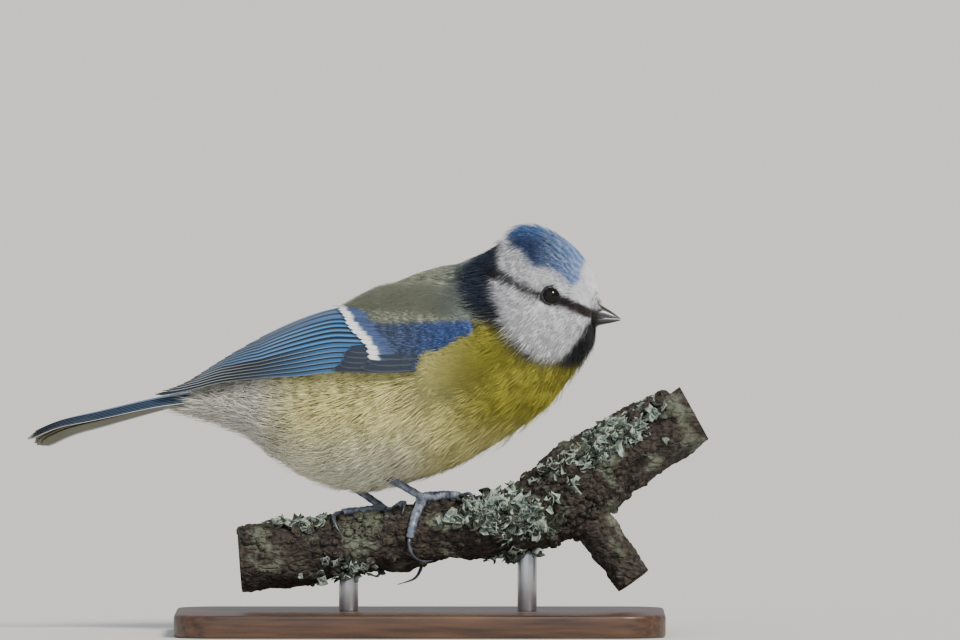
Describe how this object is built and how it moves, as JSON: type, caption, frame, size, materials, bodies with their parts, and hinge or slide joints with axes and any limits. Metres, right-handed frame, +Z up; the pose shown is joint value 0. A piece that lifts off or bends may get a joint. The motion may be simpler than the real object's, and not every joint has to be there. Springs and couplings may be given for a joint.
{
  "type": "blue tit model",
  "caption": "life-size blue tit, a small songbird, gripping a cut length of lichened branch on a plain display stand",
  "frame": {"origin": "centre of the stand base's underside, on the floor", "axes": "+Z up; +X along the perch and the base's long side, the way the bird looks (its body is turned 10 degrees from +X towards -Y); -Y the side that shows the bird's right flank"},
  "size_m": [0.1339, 0.06, 0.0797],
  "materials": {
    "coat": "matte feather coat: yellow breast and flanks, grey-green mantle",
    "collar_coat": "matte blue-black feather coat of the collar",
    "head_coat": "matte feather coat: white face, blue crown, dark eye stripe",
    "bill": "smooth dark grey horn",
    "eye": "glossy black-brown eye",
    "wing_feather": "satin blue flight feathers and coverts",
    "tail_feather": "satin blue-grey tail feathers",
    "leg_skin": "blue-grey scutes with a slight sheen",
    "claw": "smooth dark grey horn",
    "bark": "rough dark bark with grey-green lichen",
    "stand_wood": "dark stained satin wood",
    "stand_rod": "plain brushed steel rod"
  },
  "bodies": {
    "root": {"torso": "coat", "neck": "collar_coat", "head": "head_coat", "bill_upper": "bill", "bill_lower": "bill", "eye_left": "eye", "eye_right": "eye", "wing_left": "wing_feather", "wing_right": "wing_feather", "tail": "tail_feather", "leg_left": "leg_skin", "leg_right": "leg_skin", "foot_left": "leg_skin", "foot_right": "leg_skin", "perch_branch": "bark", "stand_base": "stand_wood", "stand_rod_1": "stand_rod", "stand_rod_2": "stand_rod", "claw_left_hallux": "claw", "claw_left_inner": "claw", "claw_left_middle": "claw", "claw_left_outer": "claw", "claw_right_hallux": "claw", "claw_right_inner": "claw", "claw_right_middle": "claw", "claw_right_outer": "claw"}
  },
  "joints": []
}
